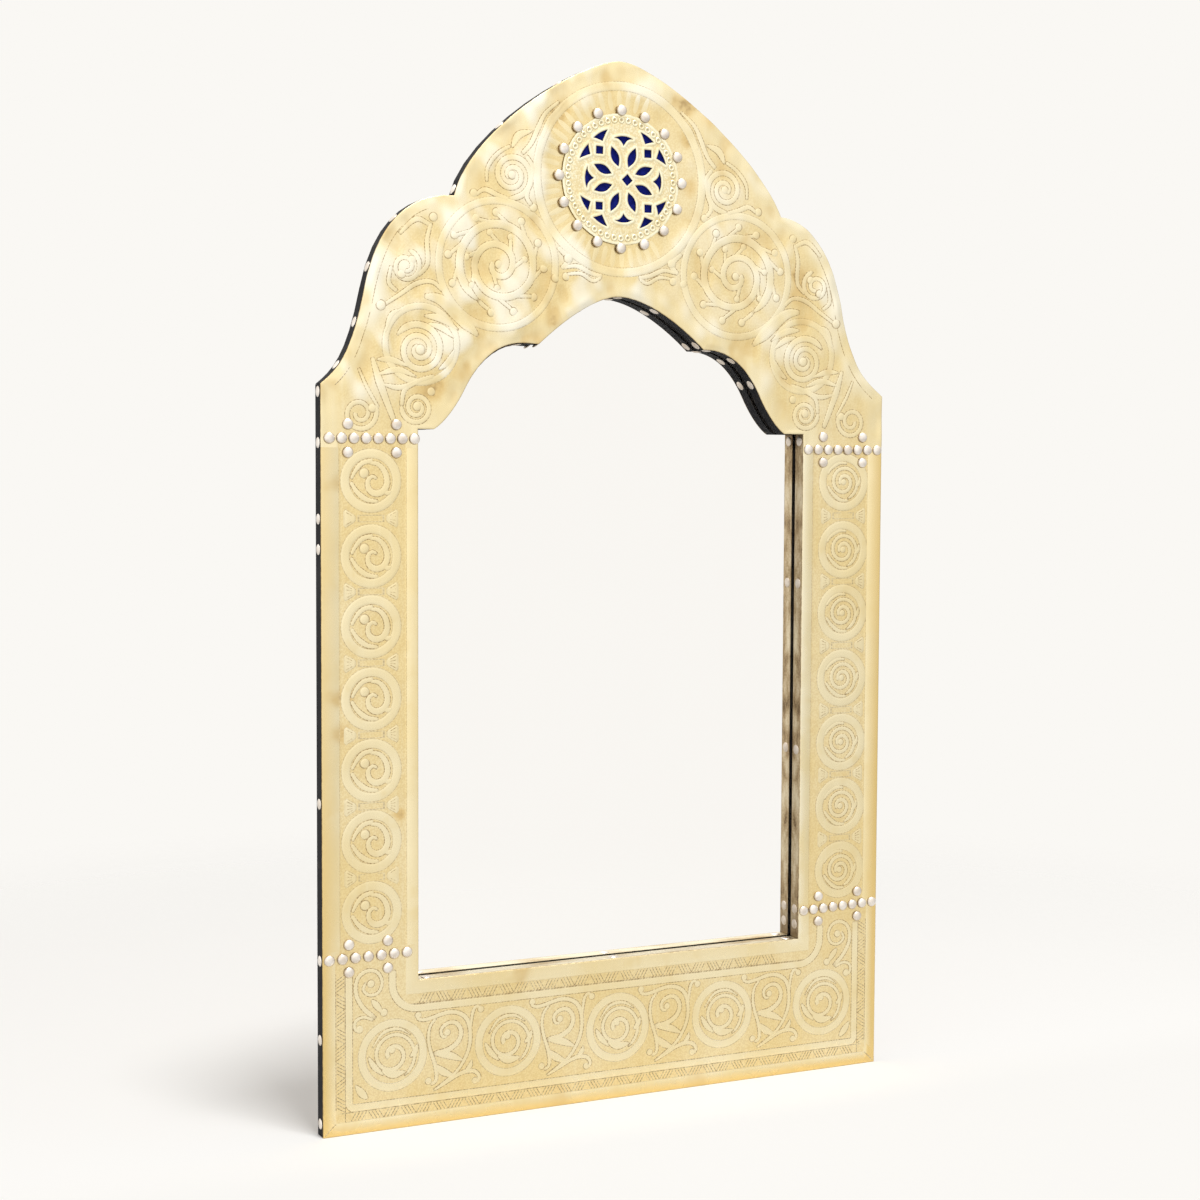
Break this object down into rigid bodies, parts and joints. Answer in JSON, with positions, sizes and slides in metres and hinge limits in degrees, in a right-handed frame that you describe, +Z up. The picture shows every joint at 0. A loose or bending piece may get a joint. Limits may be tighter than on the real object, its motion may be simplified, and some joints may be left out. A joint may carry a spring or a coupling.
{
  "type": "framed wall mirror",
  "caption": "Wall mirror in a flat brass-clad frame with an ogee crest, pierced rosette, dome nails and ring hangers.",
  "frame": {"origin": "on the wall plane at the back panel's rear face, midway across and half way up the frame", "axes": "+X to the viewer's right, +Y into the wall, +Z up"},
  "size_m": [0.598, 0.0321, 1],
  "materials": {
    "chased_brass": "satin chased brass with worn matted ground",
    "pale_brass": "satin pale brass",
    "nickel": "worn nickel plate",
    "black_strip": "blackened matt strip",
    "tarnished_brass": "mottled tarnish",
    "softwood": "bare sawn softwood",
    "mirror_glass": "silvered float glass",
    "grey_card": "plain grey card",
    "plywood": "thin plywood",
    "blue_felt": "deep blue felt",
    "zinc_steel": "zinc plated steel"
  },
  "bodies": {
    "frame": {"crest_sheet": "chased_brass", "left_stile_sheet": "chased_brass", "right_stile_sheet": "chased_brass", "bottom_sheet": "chased_brass", "rosette": "pale_brass", "rosette_nail_01": "nickel", "rosette_nail_02": "nickel", "rosette_nail_03": "nickel", "rosette_nail_04": "nickel", "rosette_nail_05": "nickel", "rosette_nail_06": "nickel", "rosette_nail_07": "nickel", "rosette_nail_08": "nickel", "rosette_nail_09": "nickel", "rosette_nail_10": "nickel", "rosette_nail_11": "nickel", "rosette_nail_12": "nickel", "rosette_nail_13": "nickel", "rosette_nail_14": "nickel", "rosette_nail_15": "nickel", "rosette_nail_16": "nickel", "left_edge_strip": "black_strip", "right_edge_strip": "black_strip", "bottom_edge_strip": "black_strip", "left_shoulder_strip": "black_strip", "right_shoulder_strip": "black_strip", "crest_edge_strip": "black_strip", "left_haunch_strip": "black_strip", "right_haunch_strip": "black_strip", "arch_strip": "black_strip", "left_reveal_strip": "tarnished_brass", "right_reveal_strip": "tarnished_brass", "bottom_reveal_strip": "tarnished_brass", "crest_board": "softwood", "left_stile": "softwood", "right_stile": "softwood", "bottom_rail": "softwood", "mirror_glass": "mirror_glass", "backing_card": "grey_card", "back_panel": "plywood", "rosette_backing": "blue_felt", "left_hanger_strap": "zinc_steel", "right_hanger_strap": "zinc_steel", "left_hanger_screw_1": "zinc_steel", "left_hanger_screw_2": "zinc_steel", "right_hanger_screw_1": "zinc_steel", "right_hanger_screw_2": "zinc_steel", "panel_screw_1": "zinc_steel", "panel_screw_2": "zinc_steel", "panel_screw_3": "zinc_steel", "panel_screw_4": "zinc_steel", "panel_screw_5": "zinc_steel", "panel_screw_6": "zinc_steel", "panel_screw_7": "zinc_steel", "panel_screw_8": "zinc_steel"},
    "left_ring": {"left_hanger_ring": "zinc_steel"},
    "right_ring": {"right_hanger_ring": "zinc_steel"}
  },
  "joints": [
    {"name": "left_ring_swing", "type": "hinge", "parent": "frame", "child": "left_ring", "pos_m": [-0.2659, -0.0097, 0.1], "axis": [1, 0, 0], "range_deg": [0, 180]},
    {"name": "right_ring_swing", "type": "hinge", "parent": "frame", "child": "right_ring", "pos_m": [0.2659, -0.0097, 0.1], "axis": [1, 0, 0], "range_deg": [0, 180]}
  ]
}
